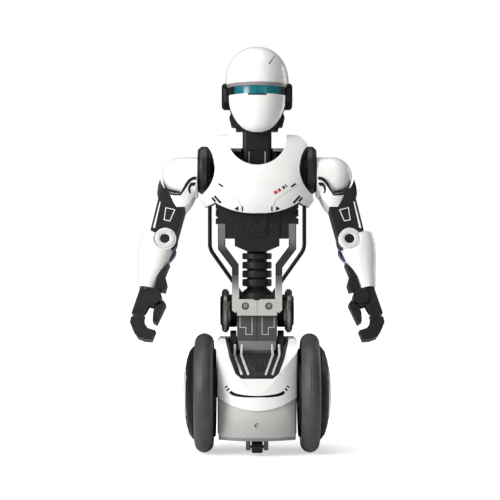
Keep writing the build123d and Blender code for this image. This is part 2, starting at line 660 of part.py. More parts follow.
def make_upper_arm(arm):
    clear = ball_form(BALL_R + BALL_GAP)
    u, z = arm_xz(*BALL)
    cone = Pos(u, 0, z - 18) * Rot(180, 0, 0) * Cone(22.3, 12.6, 36)
    skin = (Pos(u, 0, z) * Sphere(22.4) + rod_x(22.4, 58.3, u, 0, z) + cone)
    outline = [
        (90.4, 21.3), (80.7, 40.8), (69.8, 40.8), (65.8, 36.6), (62.6, 31.2), (60.8, 26.6), (58.3, 21),
        (58.3, 12.8), (62.4, 13.2), (66.2, 15.4), (69.4, 19.2), (72, 24.4), (74.4, 28.4), (80, 27.8), (86, 25.2),
    ]
    shell = arm_prism(outline, 30) & skin
    shell = shell - clear
    u_top = [
        (94.1, 12.2), (95.9, 19), (96.6, 27.2), (95.4, 32.4), (102.2, 63.3), (98.2, 65.8), ELBOW,
        (77.2, 69.8), (69.9, 41), (66.6, 36), (72, 26), (90.1, 21.5), (92.6, 17),
    ]
    profile = arm_prism(u_top, 12.4)
    profile = profile - arm_pin(ELBOW, 11.4, 20) - clear
    profile &= front_to_side(12.4)
    tongue = sector(BALL, 30, -86, -67, 4.0) + arm_pin(BALL, 6.6, 4.0)
    tongue -= arm_pin(BALL, 2.5 + RUN_FIT, 10)
    lower = arm_pin(ELBOW, 11.8, 6.5) + arm_prism([(77.2, 69.8), (80, 52), (96, 52), (99, 66)], 6.5)
    upper = profile + tongue + lower + arm_pin(ELBOW, ELBOW_PIN_R, 10.7)
    shell -= profile
    arm["deltoid_shell"] = shell.solids().sort_by(SortBy.VOLUME)[-1]
    arm["upper_arm"] = upper


def front_to_side(half):
    """Rounded bar along the arm, used to soften the upper arm's front and back."""
    a, b = arm_xz(*BALL), arm_xz(*ELBOW)
    axis = Plane(((a[0] + b[0]) / 2, 0, (a[1] + b[1]) / 2), x_dir=(0, 1, 0), z_dir=(a[0] - b[0], 0, a[1] - b[1]))
    return extrude(axis * RectangleRounded(2 * half, 46, 8), amount=60, both=True)


def forearm_body(inset):
    """Outside of the gauntlet, drawn in by inset."""
    stations = [
        (64, 100, 11, 10.5), (72, 96.6, 16.5, 13.5), (82, 97.4, 16.8, 14), (94, 99.2, 14.8, 13.2),
        (106, 101.9, 11.6, 11.4), (WRIST[1] + 3, 104.3, 8.2, 9.4),
    ]
    levels = [
        Pos(u, 0, SHOULDER_Z - w) * Ellipse(a - inset, b - inset) for w, u, a, b in stations
    ]
    return loft(levels)


def below_wrist(gap):
    """Everything past the wrist plane, moved along the forearm by gap."""
    u, z = arm_xz(*WRIST)
    lean = math.radians(WRIST_DEG)
    along = Vector(math.sin(lean), 0, -math.cos(lean))
    plane = Plane(Vector(u, 0, z) + along * gap, z_dir=along)
    return plane * Pos(0, 0, 40) * Box(90, 90, 80)


def wrist_rod(r, start, end):
    """Rod on the wrist axis, measured from the wrist plane towards the hand."""
    u, z = arm_xz(*WRIST)
    lean = math.radians(WRIST_DEG)
    along = Vector(math.sin(lean), 0, -math.cos(lean))
    plane = Plane(Vector(u, 0, z) + along * (start + end) / 2, z_dir=along)
    return plane * Cylinder(r, end - start)


def make_forearm(arm):
    outer = forearm_body(0)
    keep_out = sector(ELBOW, 60, 31, 90, 30) + sector(ELBOW, 60, 90, 180, 30) + sector(ELBOW, 60, 180, 228, 30)
    cheek = arm_pin(ELBOW, 10.8, 11) - arm_pin(ELBOW, 20, 6.8)
    shell = outer - keep_out - arm_pin(ELBOW, 12.2, 6.8) - below_wrist(0)
    hollow = forearm_body(2.2) & arm_prism([(60, 88), (130, 88), (130, 140), (60, 140)], 30)
    shell -= hollow
    for front in (-1, 1):
        ring = arm_pin(ELBOW, 9.6, 11.6) - arm_pin(ELBOW, 20, 10.9)
        cheek += ring & box(60, 130, min(0, 20 * front), max(0, 20 * front), 100, 300)
    shell = shell - arm_pin(ELBOW, 10.8, 30) + cheek
    shell -= arm_pin(ELBOW, ELBOW_PIN_R + RUN_FIT, 30)
    shell -= arm_prism([(77, 87), (91, 103), (94.5, 108), (96, 130), (70, 130)], 30)
    guard = [(84, 95), (91.2, 101.5), (95.6, 108), (98.2, 125), (89.4, 128), (86.0, 115), (88.4, 106.4)]
    pad = arm_prism(guard, 8.6) - below_wrist(0)
    core = forearm_body(2.2) & arm_prism([(60, 104), (130, 104), (130, 140), (60, 140)], 30)
    core -= below_wrist(-1)
    core += pad
    core -= wrist_rod(WRIST_PEG_R + RUN_FIT, -13, 3)
    core -= shell
    arm["forearm_shell"] = shell
    arm["forearm_guard"] = core


def make_hand(arm):
    collar = wrist_rod(8.4, 0.35, 2.4) + wrist_rod(WRIST_PEG_R, -12, 2)
    palm = arm_prism(
        [(111.6, 119.2), (112.4, 122.6), (119.6, 145.4), (117.2, 147.2), (110, 147.4), (102.6, 146.2),
         (98.6, 140), (93.4, 131), (92, 125.4), (96, 121)], 7.6,
    )
    palm += arm_pin(KNUCKLE, 7.6, 7.6)
    palm &= below_wrist(0.35)
    disc = arm_pin(KNUCKLE, 7.6, 10) - arm_pin(KNUCKLE, 20, 7.5)
    palm += disc & below_wrist(0.35)
    palm += collar
    thumb_room = arm_pin(KNUCKLE, 7.4, 3.9) + sector(KNUCKLE, 40, -152, -54, 3.9)
    beyond = sector(KNUCKLE, 60, -170, -62, 20) - arm_pin(KNUCKLE, 9.0, 30)
    palm = palm - thumb_room - beyond
    palm += arm_pin(KNUCKLE, 2.4, 6)
    finger_room = arm_pin(FINGER, 4.5, 20) - arm_pin(FINGER, 20, 3.5)
    palm = palm - finger_room
    palm -= sector(FINGER, 30, -210, -30, 20) - arm_pin(FINGER, 4.4, 30)
    palm -= sector(FINGER, 30, -60, 12, 20) - arm_pin(FINGER, 4.4, 30)
    palm = palm - arm_pin(FINGER, 4.4, 30)
    tongue = arm_pin(FINGER, 3.8, 3.4) + arm_prism([(107.6, 144.8), (108.4, 137), (114.6, 137), (114.9, 144.8)], 3.4)
    palm += tongue
    palm -= arm_pin(FINGER, 1.5 + RUN_FIT, 20)

    thumb = arm_prism(
        [(89.4, 131.6), (86.8, 135.2), (90.2, 142.8), (95.3, 154), (99.1, 151.8), (98.8, 143.6), (97.4, 138.2)], 7
    )
    thumb = thumb - arm_pin(KNUCKLE, 9.3, 20)
    web = arm_prism([(95.2, 129), (91.6, 134), (93.4, 140), (97.8, 139), (99.4, 131)], 3.5)
    thumb += web + arm_pin(KNUCKLE, 6.4, 3.5)
    thumb -= arm_pin(KNUCKLE, 2.4 + RUN_FIT, 20)

    fingers = arm_prism(
        [(119.4, 147.6), (120.6, 152.8), (117.6, 160.2), (113.1, 166.8), (106.4, 169.4), (99.8, 169.8), (96.2, 161),
         (103.6, 158.6), (107, 153.6), (107.8, 147.2), (111.2, 146.4)], 7.6,
    )
    fingers -= arm_pin(FINGER, 4.6, 3.8)
    fingers += arm_pin(FINGER, 4.1, 7.6) - arm_pin(FINGER, 20, 3.8)
    fingers -= box(60, 130, -0.45, 0.45, 90, SHOULDER_Z - 151.4)
    for a, b in (((113.2, 157.0), (121, 163.4)), ((105.6, 161.0), (110.2, 171.4))):
        groove = capsule((a[0], 0, SHOULDER_Z - a[1]), (b[0], 0, SHOULDER_Z - b[1]), 0.45)
        for depth in (-7.7, 7.7):
            fingers -= Pos(0, depth, 0) * groove
    fingers += arm_pin(FINGER, 1.5, 7.0)
    arm["hand_palm"] = palm
    arm["thumb"] = thumb
    arm["fingers"] = fingers


def make_arms(parts):
    arm = {}
    make_shoulder(arm)
    make_upper_arm(arm)
    make_forearm(arm)
    make_hand(arm)
    shoulder = Axis((0, 0, SHOULDER_Z), (1, 0, 0))
    for name, solid in arm.items():
        swung = solid.rotate(shoulder, -SWING_DEG)
        parts[f"{name}_left"] = swung
        parts[f"{name}_right"] = mirror(swung, about=Plane.YZ)


def main():
    parts = {}
    make_base(parts)
    make_wheels(parts)
    make_waist(parts)
    make_torso(parts)
    make_head(parts)
    make_arms(parts)
    os.makedirs("parts", exist_ok=True)
    for name, solid in parts.items():
        solids = solid.solids()
        shape = solids[0] if len(solids) == 1 else Compound(children=list(solids))
        shape.label = name
        export_step(shape, os.path.join("parts", f"{name}.step"))


if __name__ == "__main__":
    main()
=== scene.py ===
"""Looks of the self balancing toy robot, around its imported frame.

Blender works in metres. The shapes here are written in millimetres and go through mm(). The robot
faces -Y, and its left side is +X.
"""

import json
import math

import bmesh
import bpy
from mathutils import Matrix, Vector
from mathutils.bvhtree import BVHTree


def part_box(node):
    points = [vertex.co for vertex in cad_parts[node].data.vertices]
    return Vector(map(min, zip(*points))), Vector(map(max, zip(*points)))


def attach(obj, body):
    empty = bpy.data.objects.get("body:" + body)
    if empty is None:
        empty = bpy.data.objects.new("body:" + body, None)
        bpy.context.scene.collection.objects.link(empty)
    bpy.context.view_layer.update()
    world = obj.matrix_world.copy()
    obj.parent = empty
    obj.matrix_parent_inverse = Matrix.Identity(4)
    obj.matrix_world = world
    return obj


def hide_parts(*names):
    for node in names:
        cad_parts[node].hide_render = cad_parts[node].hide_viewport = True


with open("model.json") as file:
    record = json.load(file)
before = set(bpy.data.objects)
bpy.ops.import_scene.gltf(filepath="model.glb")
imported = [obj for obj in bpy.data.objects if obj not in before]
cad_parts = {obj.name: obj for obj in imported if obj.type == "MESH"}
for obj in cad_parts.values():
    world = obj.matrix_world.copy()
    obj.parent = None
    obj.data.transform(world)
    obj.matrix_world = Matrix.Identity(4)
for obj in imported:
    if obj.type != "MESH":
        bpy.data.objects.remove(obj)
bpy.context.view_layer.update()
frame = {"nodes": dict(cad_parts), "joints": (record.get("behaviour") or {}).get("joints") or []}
nodes = frame["nodes"]
joints = {joint["name"]: joint for joint in frame["joints"]}

MM = 0.001
SIDES = {"left": 1, "right": -1}
ACROSS = Vector((1, 0, 0))
BACK = Vector((0, 1, 0))
UP = Vector((0, 0, 1))


def mm(x, y, z):
    return Vector((x, y, z)) * MM


def mirrored(s, points):
    """Points drawn for the left side, as they are if s is 1 and mirrored if it is -1."""
    return [(s * x, z) for x, z in points]


# Materials
class Graph:
    """A node material being built, with the few kinds of node that the finishes here share."""

    def __init__(self, name):
        self.material = bpy.data.materials.new(name)
        self.material.use_nodes = True
        self.tree = self.material.node_tree
        self.shader = self.tree.nodes["Principled BSDF"]
        self.place = self.add("ShaderNodeTexCoord").outputs["Object"]

    def add(self, kind, inputs=(), **settings):
        node = self.tree.nodes.new(kind)
        for key, value in settings.items():
            setattr(node, key, value)
        for key, value in dict(inputs).items():
            self.put(node, key, value)
        return node

    def put(self, node, key, value):
        if isinstance(value, bpy.types.NodeSocket):
            self.tree.links.new(value, node.inputs[key])
        else:
            node.inputs[key].default_value = value

    def noise(self, size, detail=2.0, roughness=0.5, stretch=None):
        """Noise whose features are about size millimetres across."""
        place = self.place
        if stretch:
            mapping = self.add("ShaderNodeMapping", {"Vector": place, "Scale": stretch})
            place = mapping.outputs["Vector"]
        scale = 1 / (size * MM)
        inputs = {"Vector": place, "Scale": scale, "Detail": detail, "Roughness": roughness}
        return self.add("ShaderNodeTexNoise", inputs).outputs["Fac"]

    def ramp(self, value, low, high, out_low=0.0, out_high=1.0):
        """value from low..high mapped onto out_low..out_high, and held there."""
        inputs = {"Value": value, "From Min": low, "From Max": high}
        inputs.update({"To Min": out_low, "To Max": out_high})
        node = self.add("ShaderNodeMapRange", inputs, interpolation_type="SMOOTHSTEP")
        return node.outputs["Result"]

    def spread(self, noise, out_low=0.0, out_high=1.0):
        """A noise mapped onto out_low..out_high; most of its values lie between 0.3 and 0.7."""
        return self.ramp(noise, 0.3, 0.7, out_low, out_high)

    def maths(self, operation, a, b=0.0):
        return self.add("ShaderNodeMath", {0: a, 1: b}, operation=operation).outputs["Value"]

    def mix(self, factor, a, b):
        return self.add("ShaderNodeMix", {0: factor, 6: a, 7: b}, data_type="RGBA").outputs[2]

    def position(self, axis):
        """Position along one axis, in millimetres."""
        split = self.add("ShaderNodeSeparateXYZ", {"Vector": self.place}).outputs[axis]
        return self.maths("MULTIPLY", split, 1 / MM)

    def rounded(self, radius):
        """Normals that turn smoothly round each edge, and a mask of the edges."""
        bevel = self.add("ShaderNodeBevel", {"Radius": radius * MM}, samples=6).outputs["Normal"]
        flat = self.add("ShaderNodeNewGeometry").outputs["Normal"]
        dot = self.add("ShaderNodeVectorMath", {0: bevel, 1: flat}, operation="DOT_PRODUCT")
        mask_starts, mask_full = 0.97, 0.80
        return bevel, self.ramp(dot.outputs["Value"], mask_starts, mask_full)

    def bump(self, value, depth, normal=None):
        """Normals bumped by a value, depth millimetres from 0 to 1."""
        inputs = {"Height": value, "Distance": depth * MM, "Strength": 1.0}
        if normal is not None:
            inputs["Normal"] = normal
        return self.add("ShaderNodeBump", inputs).outputs["Normal"]

    def source(self, key):
        """What feeds one of the shader's sockets now."""
        return self.shader.inputs[key].links[0].from_socket

    def tone(self, share, colour):
        """Changes the finish to another colour by share."""
        self.put(self.shader, "Base Color", self.mix(share, self.source("Base Color"), colour))


def rgba(colour):
    return (*colour, 1.0)


def grey(value):
    return rgba([value] * 3)


def shade(colour, factor):
    return rgba([min(1.0, part * factor) for part in colour])


def moulded(
    name, colour, rough, grain, wear=0.0, coat=0.0, edge=0.35, mottle=0.05, dust=0.0, shine=0.5
):
    """Injection moulded plastic: mottled tint, fine mould texture, softened edges with a patchy
    painted highlight.

    grain is the size and the depth of the mould texture, and edge is the radius of the edges, all in
    millimetres. The other numbers are shares from 0 to 1.
    """
    g = Graph(name)
    tint = g.mix(g.spread(g.noise(28, 3)), shade(colour, 1 - mottle), shade(colour, 1 + mottle))
    normal, edges = g.rounded(edge)
    # Painted highlight: the edges are lightened towards mid grey, in patches.
    if wear:
        highlit_edges = g.maths("MULTIPLY", edges, g.ramp(g.noise(1.6, 3), 0.35, 0.65, 0.25, 1.0))
        mid_grey = 0.5
        pale = rgba([part + (mid_grey - part) * wear for part in colour])
        tint = g.mix(highlit_edges, tint, pale)
    if dust:
        grit = g.ramp(g.noise(0.55, 1), 0.66, 0.76)
        specks = g.maths("MULTIPLY", grit, g.ramp(g.noise(19, 2), 0.4, 0.7))
        tint = g.mix(g.maths("MULTIPLY", specks, dust), tint, rgba((0.55, 0.53, 0.5)))
    g.put(g.shader, "Base Color", tint)
    g.put(g.shader, "Specular IOR Level", shine)
    g.put(g.shader, "Roughness", g.spread(g.noise(9, 4, 0.6), rough * 0.86, rough * 1.16))
    size, depth = grain
    g.put(g.shader, "Normal", g.bump(g.noise(size, 3, 0.62), depth, normal))
    if coat:
        g.put(g.shader, "Coat Weight", coat)
        g.put(g.shader, "Coat Roughness", 0.06)
    return g


def brushed(name, colour, rough, stretch):
    """Brushed or turned metal with fine lines along one direction, and a painted highlight along its
    edges.
    """
    g = Graph(name)
    lines = g.noise(0.35, 3, 0.6, stretch)
    tint = g.mix(g.spread(lines), shade(colour, 0.78), shade(colour, 1.12))
    normal, edges = g.rounded(0.25)
    # Painted highlight: the edges are lighter than the rest of the metal.
    g.put(g.shader, "Base Color", g.mix(edges, tint, shade(colour, 1.3)))
    g.put(g.shader, "Metallic", 1.0)
    g.put(g.shader, "Roughness", g.spread(lines, rough * 0.8, rough * 1.25))
    g.put(g.shader, "Normal", g.bump(lines, 0.01, normal))
    return g


def paint_base_shade(g):
    """Paints shade on the base shell under its crease, darker towards the bottom, and bumps a round
    dimple into it.
    """
    crease_bend, crease_height = 0.0083, 45.2
    dimple_height, dimple_floor, dimple_rim, dimple_depth = 31.0, 0.4, 2.7, 2.6
    across, level = g.position("X"), g.position("Z")
    squared = g.maths("POWER", g.maths("ABSOLUTE", across), 2.0)
    crease = g.maths("ADD", g.maths("MULTIPLY", squared, crease_bend), crease_height)
    # Painted shade: under the crease the shell turns grey, darker towards the bottom.
    below = g.ramp(g.maths("SUBTRACT", crease, level), -0.2, 0.2)
    painted_shade = g.mix(g.ramp(level, 22, 48), rgba((0.40, 0.39, 0.38)), rgba((0.53, 0.52, 0.505)))
    g.tone(below, painted_shade)
    drop = g.maths("SUBTRACT", level, dimple_height)
    squares = [g.maths("MULTIPLY", offset, offset) for offset in (across, drop)]
    dish = g.ramp(g.maths("SQRT", g.maths("ADD", *squares)), dimple_floor, dimple_rim)
    g.put(g.shader, "Normal", g.bump(dish, dimple_depth, g.source("Normal")))


def darken_hip_discs(g):
    """Leaves bare metal only on the tread of each hip disc."""
    side = g.maths("ABSOLUTE", g.position("X"))
    g.tone(g.ramp(side, 27.2, 25.4), grey(0.006))
    g.tone(g.ramp(side, 31.2, 33.4), grey(0.006))


def rubber():
    """Tyre rubber: dull, with paler dust in its fine texture."""
    g = Graph("tyre_rubber")
    fine = g.noise(0.5, 4, 0.65)
    broad = g.noise(14, 3)
    tint = g.mix(g.spread(broad), rgba((0.040, 0.039, 0.037)), rgba((0.062, 0.060, 0.057)))
    tint = g.mix(g.ramp(fine, 0.55, 0.8, 0, 0.35), tint, rgba((0.14, 0.135, 0.125)))
    g.put(g.shader, "Base Color", tint)
    g.put(g.shader, "Roughness", g.spread(broad, 0.42, 0.56))
    g.put(g.shader, "Normal", g.bump(fine, 0.02))
    return g


def visor_plastic():
    """Clear teal visor over a dark backing, nearly black at its ends, with a faint painted glow."""
    g = Graph("visor_teal")
    side = g.maths("ABSOLUTE", g.position("X"))
    streaks = g.spread(g.noise(2.2, 3, 0.6, (1, 1, 0.15)))
    middle = g.mix(streaks, rgba((0.0, 0.085, 0.11)), rgba((0.0, 0.14, 0.175)))
    tint = g.mix(g.ramp(side, 19, 23.5), middle, rgba((0.003, 0.010, 0.02)))
    g.put(g.shader, "Base Color", tint)
    g.put(g.shader, "Roughness", g.spread(g.noise(5, 2), 0.22, 0.34))
    # Painted glow in the visor's own teal.
    g.put(g.shader, "Emission Color", tint)
    g.put(g.shader, "Emission Strength", 0.3)
    g.put(g.shader, "Coat Weight", 0.15)
    g.put(g.shader, "Coat Roughness", 0.08)
    g.put(g.shader, "Normal", g.bump(g.noise(3, 1), 0.004))
    return g


def light_guide():
    """Light guide strips: milky, with a faint glow."""
    g = Graph("strip_light")
    cloud = g.noise(2.5, 3)
    tint = g.mix(g.spread(cloud), grey(0.46), grey(0.66))
    g.put(g.shader, "Base Color", tint)
    g.put(g.shader, "Emission Color", tint)
    g.put(g.shader, "Emission Strength", 0.05)
    g.put(g.shader, "Roughness", g.spread(cloud, 0.16, 0.26))
    g.put(g.shader, "Coat Weight", 0.5)
    g.put(g.shader, "Coat Roughness", 0.05)
    g.put(g.shader, "Normal", g.bump(g.noise(0.8, 2), 0.003))
    return g


# Each plastic's colour, roughness, grain, and what else moulded() takes
WHITE = ((0.83, 0.825, 0.81), 0.24, (0.9, 0.0025), dict(coat=0.3, mottle=0.012))
PRINT_GRAIN = (0.3, 0.002)
PLASTICS = {
    "white_shell": WHITE,
    "base_white": WHITE,
    "hub_white": ((0.84, 0.835, 0.82), 0.2, (0.8, 0.002), dict(coat=0.4, mottle=0.012)),
    "black_matte": ((0.008, 0.008, 0.008), 0.5, (0.42, 0.012), dict(wear=0.12, dust=0.1, shine=0.3)),
    "black_gloss": ((0.005, 0.005, 0.005), 0.5, (0.7, 0.003), dict(wear=0.06, dust=0.03, shine=0.14)),
    "disc_black": (
        (0.011, 0.011, 0.011), 0.42, (0.5, 0.006), dict(wear=0.2, edge=0.3, dust=0.1, shine=0.4)
    ),
    "recess_black": ((0.012, 0.0115, 0.011), 0.4, (0.45, 0.01), dict(wear=0.35, dust=0.1, shine=0.4)),
    "column_grey": ((0.062, 0.062, 0.063), 0.4, (0.4, 0.006), dict(wear=0.2, dust=0.1)),
    "silver_grey": ((0.46, 0.45, 0.425), 0.36, (0.35, 0.006), dict(wear=0.2, dust=0.2)),
    "strut_grey": ((0.15, 0.15, 0.145), 0.36, (0.4, 0.006), dict(wear=0.2, mottle=0.06)),
    "tray_grey": ((0.2, 0.195, 0.19), 0.4, (0.5, 0.008), dict(mottle=0.04)),
    "bracket_grey": ((0.07, 0.07, 0.068), 0.4, (0.5, 0.008), dict(wear=0.3, mottle=0.04)),
    "ring_grey": ((0.60, 0.60, 0.59), 0.3, (0.5, 0.003), dict(edge=0.25, mottle=0.03)),
    # The brim band's grey is painted shade under the helmet's edge.
    "brim_painted_shade": ((0.24, 0.22, 0.22), 0.35, (0.5, 0.003), dict(edge=0.2)),
    "pale_print": ((0.74, 0.74, 0.73), 0.42, PRINT_GRAIN, dict(edge=0.1, mottle=0.03)),
    "black_print": ((0.008, 0.008, 0.008), 0.45, PRINT_GRAIN, dict(edge=0.1, shine=0.3)),
    "grey_print": ((0.16, 0.16, 0.16), 0.42, PRINT_GRAIN, dict(edge=0.1)),
    "red_print": ((0.55, 0.018, 0.02), 0.38, PRINT_GRAIN, dict(edge=0.1)),
    "blue_trim": ((0.002, 0.012, 0.07), 0.3, (0.6, 0.002), dict(coat=0.2, edge=0.2, mottle=0.08)),
    "board_green": ((0.01, 0.11, 0.04), 0.35, (0.8, 0.01), dict(coat=0.3, mottle=0.1)),
    "cell_blue": ((0.03, 0.07, 0.2), 0.3, (0.9, 0.002), dict(coat=0.2)),
}
# Each metal's colour, roughness, and the stretch of its lines
METALS = {
    "screw_steel": ((0.5, 0.5, 0.49), 0.3, (1, 0.08, 1)),
    "motor_steel": ((0.5, 0.5, 0.5), 0.34, (0.05, 1, 1)),
    "disc_metal": ((0.26, 0.25, 0.24), 0.36, (0.06, 1, 1)),
}


def make_materials():
    made = {name: moulded(name, *spec, **more) for name, (*spec, more) in PLASTICS.items()}
    made.update({name: brushed(name, *spec) for name, spec in METALS.items()})
    made.update({"tyre_rubber": rubber(), "visor_teal": visor_plastic(), "strip_light": light_guide()})
    paint_base_shade(made["base_white"])
    darken_hip_discs(made["disc_metal"])
    # The hip block fades to dark up its two arms. The struts are nearly black below their bend:
    # painted shade where they bend back away from the light.
    block, struts = made["silver_grey"], made["strut_grey"]
    block.tone(block.ramp(block.position("Z"), 151, 172), rgba((0.075, 0.075, 0.073)))
    # Painted shade on the struts under their bend.
    struts.tone(struts.ramp(struts.position("Z"), 208, 194), grey(0.022))
    return {name: graph.material for name, graph in made.items()}


materials = make_materials()

CAD_FINISH = {
    "base_white": ["base_front_shell"],
    "white_shell": [
        "base_rear_shell", "chest_shell", "back_shell", "helmet", "face_plate",
        "shoulder_ball_{side}", "deltoid_shell_{side}", "forearm_shell_{side}",
    ],
    "hub_white": ["hub_cap_{side}"],
    "black_matte": [
        "torso_frame", "waist_bellows", "head_frame", "neck_post", "roller_front", "roller_rear",
        "power_switch", "upper_arm_{side}", "forearm_guard_{side}", "hand_palm_{side}",
        "thumb_{side}", "fingers_{side}",
    ],
    "black_gloss": ["wheel_rim_{side}", "ear_caps", "front_vent_bars", "side_tubes"],
    "disc_black": ["shoulder_disc_{side}", "axle_gear_{side}", "pinion_{side}"],
    "disc_metal": ["hip_discs"],
    "recess_black": ["recess_panel"],
    "column_grey": ["hip_column"],
    "silver_grey": ["hip_block"],
    "bracket_grey": ["roller_supports"],
    "tray_grey": ["base_tray", "battery_door"],
    "strut_grey": ["side_struts"],
    "visor_teal": ["visor"],
    "strip_light": ["recess_light_strips"],
    "screw_steel": ["torso_screws", "base_screws"],
    "motor_steel": ["drive_motors", "hip_axle"],
    "cell_blue": ["battery_cells"],
    "board_green": ["base_circuit_board"],
}


def finish_cad_nodes():
    for finish, patterns in CAD_FINISH.items():
        for name in sorted({pattern.format(side=side) for pattern in patterns for side in SIDES}):
            slots = nodes[name].data.materials
            slots.clear()
            slots.append(materials[finish])


finish_cad_nodes()


# Mesh pieces
def add_piece(name, points, faces, finish, body, smooth_deg=35, bevel=0.0):
    """A new piece from points in metres, with rounded edges if bevel millimetres is given."""
    mesh = bpy.data.meshes.new(name)
    mesh.from_pydata([tuple(point) for point in points], [], faces)
    shape = bmesh.new()
    shape.from_mesh(mesh)
    bmesh.ops.remove_doubles(shape, verts=shape.verts, dist=1e-6)
    bmesh.ops.recalc_face_normals(shape, faces=shape.faces)
    if bevel:
        sharp = [edge for edge in shape.edges if edge.calc_face_angle(0) > math.radians(smooth_deg)]
        settings = {"segments": 2, "profile": 0.5, "affect": "EDGES", "clamp_overlap": True}
        bmesh.ops.bevel(shape, geom=sharp, offset=bevel * MM, **settings)
    shape.to_mesh(mesh)
    shape.free()
    mesh.shade_smooth()
    mesh.set_sharp_from_angle(angle=math.radians(smooth_deg))
    mesh.materials.append(materials[finish])
    piece = bpy.data.objects.new(name, mesh)
    bpy.context.scene.collection.objects.link(piece)
    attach(piece, body)
    return piece


def lathe(name, profile, centre, axis, finish, body, segments=96):
    """Solid of revolution of a closed profile of (along, radius), round an axis through centre."""
    turn = Vector(axis).normalized().to_track_quat("Z", "Y").to_matrix()
    points, faces = [], []
    count = len(profile)
    for i in range(segments):
        a = 2 * math.pi * i / segments
        for along, radius in profile:
            points.append(centre + turn @ mm(radius * math.cos(a), radius * math.sin(a), along))
        first, second = i * count, ((i + 1) % segments) * count
        for j in range(count):
            k = (j + 1) % count
            faces.append((first + j, second + j, second + k, first + k))
    return add_piece(name, points, faces, finish, body)


def prism(name, outline, low, high, finish, body, bevel, place=mm):
    """Prism of an outline between two depths; place(u, depth, v) gives a point in metres."""
    count = len(outline)
    points = [place(u, depth, v) for depth in (low, high) for u, v in outline]
    faces = [tuple(range(count)), tuple(range(2 * count - 1, count - 1, -1))]
    faces += [(i, (i + 1) % count, count + (i + 1) % count, count + i) for i in range(count)]
    return add_piece(name, points, faces, finish, body, bevel=bevel)


def surface_of(*names):
    """A tree for finding points on the outside of CAD nodes."""
    points, faces = [], []
    for name in names:
        mesh = nodes[name].data
        start = len(points)
        points += [vertex.co.copy() for vertex in mesh.vertices]
        faces += [[start + index for index in polygon.vertices] for polygon in mesh.polygons]
    return BVHTree.FromPolygons(points, faces)


class Projector:
    """Lays flat drawings on a surface: each (u, v) starts a ray, in one direction for all."""

    def __init__(self, tree, start, along):
        self.tree, self.start, self.along = tree, start, along.normalized()

    def hit(self, u, v):
        """The point that a ray meets and the normal there, towards the ray's start."""
        point, normal, _, _ = self.tree.ray_cast(self.start(u, v), self.along)
        if point is None:
            return None
        return point, -normal if normal.dot(self.along) > 0 else normal


def front_view(*names):
    """Drawings in (x, z), laid on from the front."""
    return Projector(surface_of(*names), lambda x, z: mm(x, -120, z), BACK)


def side_view(s, name):
    """Drawings in (y, z), laid on from the left if s is 1 and from the right if it is -1."""
    return Projector(surface_of(name), lambda y, z: mm(s * 110, y, z), -s * ACROSS)


def bridged(hits):
    """Three hits across a strip, with the middle one lifted out of any groove."""
    if None in hits:
        return hits
    (first, side), (middle, normal), (last, _) = hits
    level = (first + last) / 2
    in_groove = (level - middle).dot(side) > 0.1 * MM
    return [hits[0], (level, side) if in_groove else (middle, normal), hits[2]]


def resample(points, step, closed):
    """Points evenly spaced along a polyline, corners kept, each with its share of the way along."""
    points = [tuple(point) for point in points]
    ends = points + [points[0]] if closed else points
    total = sum(math.dist(a, b) for a, b in zip(ends, ends[1:]))
    out, gone = [], 0.0
    for a, b in zip(ends, ends[1:]):
        length = math.dist(a, b)
        count = max(1, round(length / step))
        for i in range(count):
            share = i / count
            at = (a[0] + (b[0] - a[0]) * share, a[1] + (b[1] - a[1]) * share)
            out.append((at, (gone + length * share) / total))
        gone += length
    if not closed:
        out.append((points[-1], 1.0))
    return out


PRINT_LIFT = 0.06
PRINT_DEPTH = 0.25
PRINT_STEP = 0.6


def raised(hit, height):
    """The point that is height millimetres above a hit."""
    point, normal = hit
    return point + normal * height * MM


def ribbon(name, rows, finish, body, lift, closed=False):
    """A thin strip over rows of three hits across it: a top above the surface, a foot inside it."""
    rows = [hits for hits in map(bridged, rows) if None not in hits]
    points = []
    for hits in rows:
        points += [raised(hit, lift) for hit in hits]
        points += [raised(hit, -PRINT_DEPTH) for hit in reversed(hits)]
    sides = 6
    starts = range(0, len(points), sides)
    faces = []
    for a, b in list(zip(starts, starts[1:])) + ([(starts[-1], 0)] if closed else []):
        faces += [(a + j, a + (j + 1) % sides, b + (j + 1) % sides, b + j) for j in range(sides)]
    if not closed:
        faces += [tuple(reversed(range(sides))), tuple(starts[-1] + j for j in range(sides))]
    return add_piece(name, points, faces, finish, body, smooth_deg=50)


def strip(
    name, projector, line, width, finish, body, closed=False, lift=PRINT_LIFT, step=PRINT_STEP
):
    """A thin strip laid on a surface along a line. width is one number, or one for each end."""
    first_width, last_width = width if isinstance(width, tuple) else (width, width)
    samples = resample(line, step, closed)
    count = len(samples)
    assert projector.hit(*samples[count // 2][0]), f"{name} misses its surface"
    rows = []
    for i, ((u, v), share) in enumerate(samples):
        before = samples[i - 1][0] if i or closed else (u, v)
        after = samples[(i + 1) % count][0] if i < count - 1 or closed else (u, v)
        incoming = Vector((u - before[0], v - before[1]))
        outgoing = Vector((after[0] - u, after[1] - v))
        incoming = incoming.normalized() if incoming.length > 1e-9 else outgoing.normalized()
        outgoing = outgoing.normalized() if outgoing.length > 1e-9 else incoming
        along = (incoming + outgoing).normalized()
        half = 0.5 * (first_width + (last_width - first_width) * share)
        half /= max(0.5, along.dot(outgoing))
        across = Vector((-along.y, along.x)) * half
        rows.append([projector.hit(u + across.x * k, v + across.y * k) for k in (-1, 0, 1)])
    return ribbon(name, rows, finish, body, lift, closed)


def band(name, projector, first, second, finish, body, lift):
    """A filled band laid on a surface between two lines of equally many points."""
    pairs = list(zip(first, second))
    rows = []
    for i, ((a, b), (c, d)) in enumerate(zip(pairs, pairs[1:])):
        count = max(1, round(max(math.dist(a, c), math.dist(b, d)) / PRINT_STEP))
        for j in range(count + (i == len(pairs) - 2)):
            start, end = (Vector(p).lerp(Vector(q), j / count) for p, q in ((a, c), (b, d)))
            rows.append([projector.hit(*at) for at in (start, (start + end) / 2, end)])
    return ribbon(name, rows, finish, body, lift)


